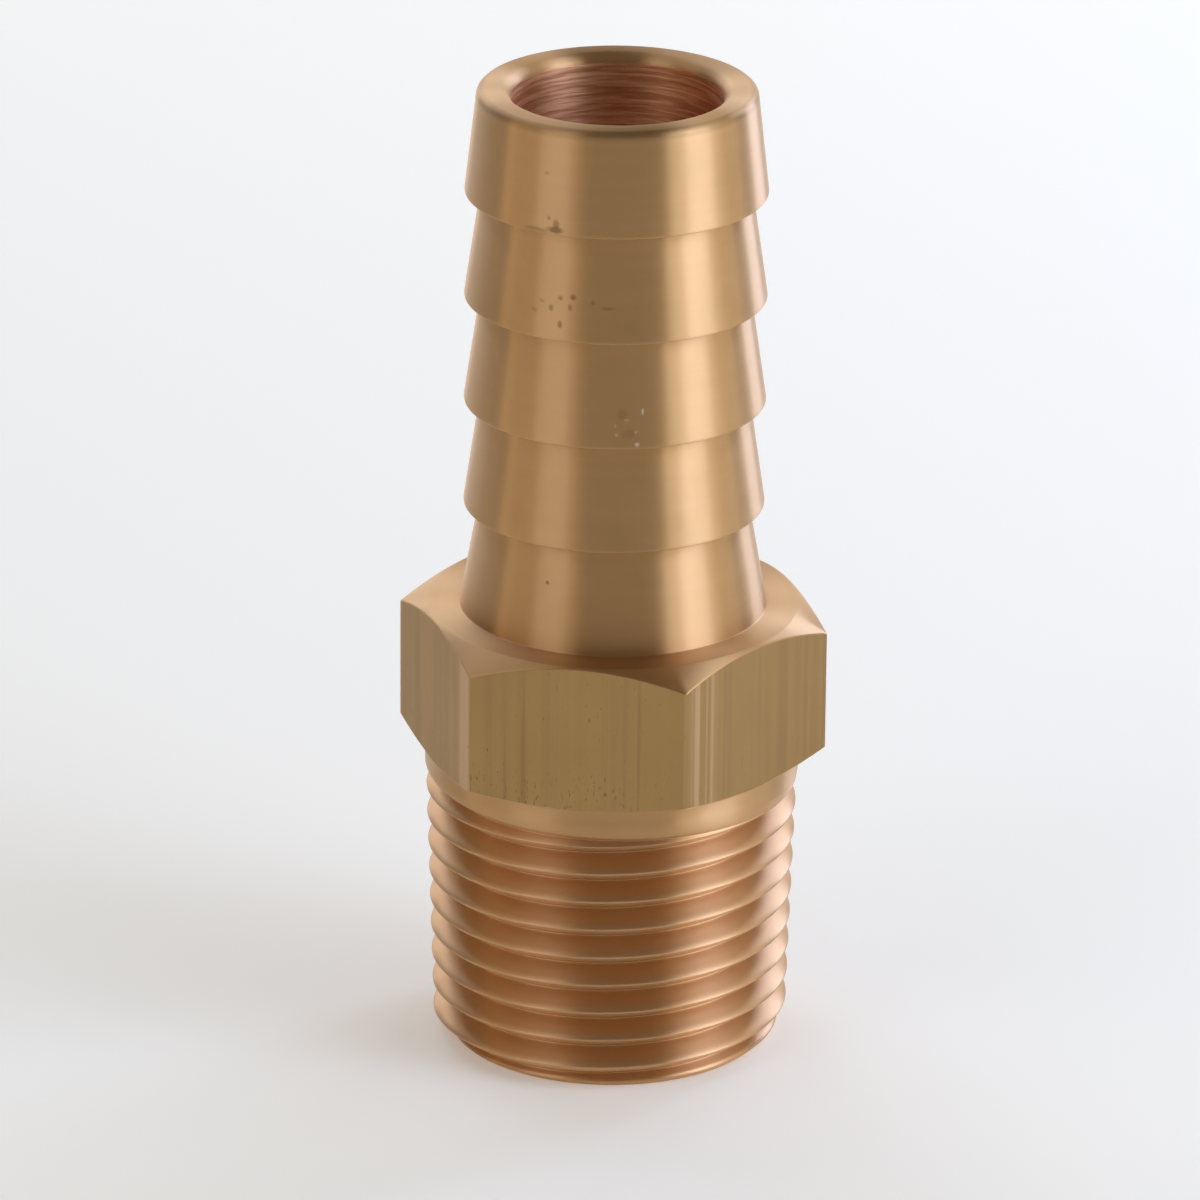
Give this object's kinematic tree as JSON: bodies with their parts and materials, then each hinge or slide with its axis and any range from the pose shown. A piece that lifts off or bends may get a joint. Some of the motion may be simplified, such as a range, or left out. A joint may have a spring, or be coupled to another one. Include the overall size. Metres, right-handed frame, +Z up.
{
  "type": "hose barb tail",
  "caption": "Turned brass hose tail with saw-tooth barbs for a push-on hose, a hexagon for the spanner and a male taper pipe thread.",
  "frame": {"origin": "centre of the threaded end face, on the bore's axis", "axes": "+Z up the bore towards the mouth of the barbed tail, +X through a corner of the hexagon, -Y and +Y out of two of its flats"},
  "size_m": [0.0202, 0.0174, 0.0463],
  "materials": {
    "brass": "turned to a satin polish, with the hexagon's flats left as drawn bar"
  },
  "bodies": {
    "root": {"hose_barb_tail": "brass"}
  },
  "joints": []
}
